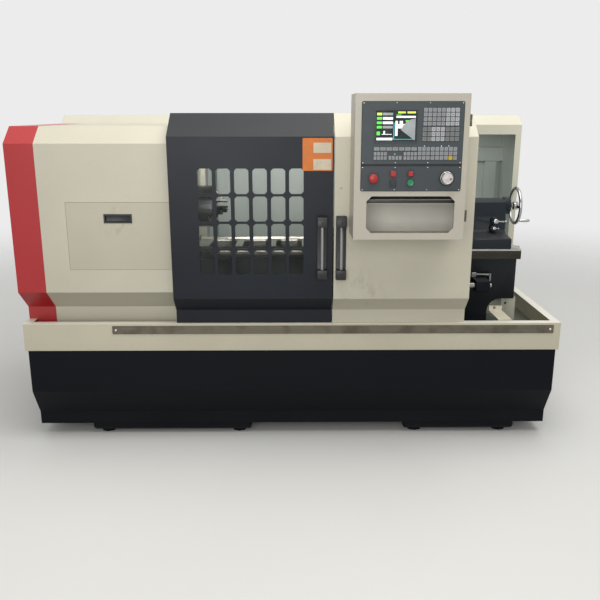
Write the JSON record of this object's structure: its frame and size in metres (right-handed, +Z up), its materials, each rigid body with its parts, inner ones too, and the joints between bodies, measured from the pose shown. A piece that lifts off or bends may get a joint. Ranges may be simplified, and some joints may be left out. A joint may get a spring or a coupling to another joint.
{
  "type": "cnc turning lathe",
  "caption": "Flat-bed CNC turning lathe on a chip-tray base, with sliding doors, a windowed grille, a control box with a hinged front, a chuck, a turret and a tailstock.",
  "frame": {"origin": "centre of the bounding box at floor level, in the stored pose with the doors shut", "axes": "+X to the right along the spindle and the bed, -Y towards the operator, +Z up"},
  "size_m": [2.42, 1.4365, 1.562],
  "materials": {
    "cream_paint": "satin cream paint",
    "dark_paint": "satin dark blue-grey paint",
    "red_paint": "satin red paint",
    "grey_paint": "matt grey paint",
    "stainless": "brushed along its length",
    "chrome": "polished",
    "steel": "turned and ground steel",
    "aluminium": "satin",
    "black_plastic": "moulded",
    "panel_grey": "printed film",
    "key_grey": "moulded keys",
    "screen": "display window",
    "red_plastic": "moulded",
    "green_plastic": "moulded",
    "belt_rubber": "matt",
    "glass": "clear safety glass"
  },
  "bodies": {
    "frame": {"base_skirt": "dark_paint", "left_pedestal": "dark_paint", "right_pedestal": "dark_paint", "chip_tray": "cream_paint", "door_rail": "stainless", "bed": "dark_paint", "headstock": "dark_paint", "left_end_cover": "red_paint", "headstock_cover": "cream_paint", "rear_guard": "cream_paint", "electrical_cabinet": "grey_paint", "main_motor": "grey_paint", "drive_belt": "belt_rubber", "z_motor": "black_plastic", "screw_bracket": "dark_paint", "lube_fitting": "chrome", "tray_bracket": "cream_paint", "bed_end_plate": "grey_paint"},
    "hatch": {"headstock_hatch": "cream_paint", "hatch_pull": "black_plastic"},
    "spindle_group": {"spindle": "steel", "spindle_pulley": "aluminium", "chuck_body": "steel"},
    "motor_shaft": {"motor_pulley": "aluminium"},
    "jaw_one": {"jaw_1": "steel"},
    "jaw_two": {"jaw_2": "steel"},
    "jaw_three": {"jaw_3": "steel"},
    "left_door_group": {"left_door": "dark_paint", "door_window": "glass", "left_handle": "black_plastic", "left_handle_bar": "aluminium"},
    "right_door_group": {"right_door": "cream_paint", "right_handle": "black_plastic", "right_handle_bar": "aluminium", "control_box": "cream_paint"},
    "control_front_group": {"control_front": "cream_paint", "control_panel": "panel_grey", "screen": "screen", "keypad": "key_grey", "operator_plate": "panel_grey"},
    "estop": {"estop_button": "red_plastic"},
    "stop": {"stop_button": "red_plastic"},
    "lock": {"lock_button": "black_plastic"},
    "off": {"off_button": "red_plastic"},
    "start": {"start_button": "green_plastic"},
    "dial": {"pulse_knob": "black_plastic"},
    "carriage": {"saddle": "dark_paint", "x_motor": "black_plastic"},
    "cross_slide_group": {"cross_slide": "steel", "turret_base": "steel"},
    "turret": {"turret_head": "steel"},
    "feed_screw": {"z_screw": "steel"},
    "tailstock": {"tailstock_body": "dark_paint"},
    "quill_group": {"quill": "chrome", "live_centre": "steel"},
    "handwheel_group": {"handwheel": "chrome"},
    "grip": {"wheel_grip": "chrome"},
    "clamp": {"clamp_lever": "chrome"},
    "quill_clamp": {"quill_lock": "chrome"},
    "cabinet_door_group": {"cabinet_door": "cream_paint"}
  },
  "joints": [
    {"name": "hatch_lift", "type": "slide", "parent": "frame", "child": "hatch", "axis": [0, -1, 0], "range_m": [0, 0.25]},
    {"name": "spindle_turn", "type": "hinge", "parent": "frame", "child": "spindle_group", "pos_m": [-0.475, -0.06605, 1.0555], "axis": [1, 0, 0], "continuous": true},
    {"name": "motor_turn", "type": "hinge", "parent": "frame", "child": "motor_shaft", "pos_m": [-1.14, 0.22595, 0.622], "axis": [1, 0, 0], "continuous": true},
    {"name": "jaw_one_slide", "type": "slide", "parent": "spindle_group", "child": "jaw_one", "axis": [0, 0, 1], "range_m": [-0.01, 0.014]},
    {"name": "jaw_two_slide", "type": "slide", "parent": "spindle_group", "child": "jaw_two", "axis": [0, -0.866, -0.5], "range_m": [-0.01, 0.014]},
    {"name": "jaw_three_slide", "type": "slide", "parent": "spindle_group", "child": "jaw_three", "axis": [0, 0.866, -0.5], "range_m": [-0.01, 0.014]},
    {"name": "left_door_slide", "type": "slide", "parent": "frame", "child": "left_door_group", "axis": [1, 0, 0], "range_m": [-0.27, 0]},
    {"name": "right_door_slide", "type": "slide", "parent": "frame", "child": "right_door_group", "axis": [1, 0, 0], "range_m": [0, 0.36]},
    {"name": "control_front_hinge", "type": "hinge", "parent": "right_door_group", "child": "control_front_group", "pos_m": [0.689, -0.67995, 0.998], "axis": [0, 0, 1], "range_deg": [0, 90]},
    {"name": "estop_press", "type": "slide", "parent": "control_front_group", "child": "estop", "axis": [0, 1, 0], "range_m": [0, 0.006], "stiffness_N_per_m": 300},
    {"name": "stop_press", "type": "slide", "parent": "control_front_group", "child": "stop", "axis": [0, 1, 0], "range_m": [0, 0.003], "stiffness_N_per_m": 300},
    {"name": "lock_press", "type": "slide", "parent": "control_front_group", "child": "lock", "axis": [0, 1, 0], "range_m": [0, 0.003], "stiffness_N_per_m": 300},
    {"name": "off_press", "type": "slide", "parent": "control_front_group", "child": "off", "axis": [0, 1, 0], "range_m": [0, 0.003], "stiffness_N_per_m": 300},
    {"name": "start_press", "type": "slide", "parent": "control_front_group", "child": "start", "axis": [0, 1, 0], "range_m": [0, 0.003], "stiffness_N_per_m": 300},
    {"name": "dial_turn", "type": "hinge", "parent": "control_front_group", "child": "dial", "pos_m": [0.604, -0.68825, 1.243], "axis": [0, -1, 0], "continuous": true},
    {"name": "feed_screw_turn", "type": "hinge", "parent": "frame", "child": "feed_screw", "pos_m": [0, -0.28605, 0.712], "axis": [1, 0, 0], "range_deg": [-19202, 16802]},
    {"name": "carriage_slide", "type": "slide", "parent": "frame", "child": "carriage", "axis": [1, 0, 0], "range_m": [-0.32, 0.28]},
    {"name": "cross_slide_feed", "type": "slide", "parent": "carriage", "child": "cross_slide_group", "axis": [0, 1, 0], "range_m": [-0.05, 0.05]},
    {"name": "turret_turn", "type": "hinge", "parent": "cross_slide_group", "child": "turret", "pos_m": [0.29, -0.24105, 0.9605], "axis": [0, 0, 1], "continuous": true},
    {"name": "tailstock_slide", "type": "slide", "parent": "frame", "child": "tailstock", "axis": [1, 0, 0], "range_m": [-0.28, 0]},
    {"name": "handwheel_turn", "type": "hinge", "parent": "tailstock", "child": "handwheel_group", "pos_m": [1.078, -0.06605, 1.0555], "axis": [-1, 0, 0], "range_deg": [0, 7200]},
    {"name": "quill_slide", "type": "slide", "parent": "tailstock", "child": "quill_group", "axis": [-1, 0, 0], "range_m": [0, 0.1]},
    {"name": "grip_turn", "type": "hinge", "parent": "handwheel_group", "child": "grip", "pos_m": [1.0865, -0.11715, 0.9901], "axis": [1, 0, 0], "continuous": true},
    {"name": "clamp_lever_turn", "type": "hinge", "parent": "tailstock", "child": "clamp", "pos_m": [0.962, -0.15305, 0.992], "axis": [0, -1, 0], "range_deg": [0, 60]},
    {"name": "quill_lock_turn", "type": "hinge", "parent": "tailstock", "child": "quill_clamp", "pos_m": [0.958, -0.15305, 0.958], "axis": [0, 1, 0], "range_deg": [0, 50]},
    {"name": "cabinet_door_hinge", "type": "hinge", "parent": "frame", "child": "cabinet_door_group", "pos_m": [-0.492, 0.70625, 0.682], "axis": [0, 0, -1], "range_deg": [0, 110]}
  ],
  "couplings": [
    {"joint": "motor_turn", "follows": "spindle_turn", "ratio": 1.5},
    {"joint": "jaw_two_slide", "follows": "jaw_one_slide", "ratio": 1},
    {"joint": "jaw_three_slide", "follows": "jaw_one_slide", "ratio": 1},
    {"joint": "feed_screw_turn", "follows": "carriage_slide", "rad_per_m": 1047.2},
    {"joint": "quill_slide", "follows": "handwheel_turn", "m_per_rad": 0.00079577}
  ]
}
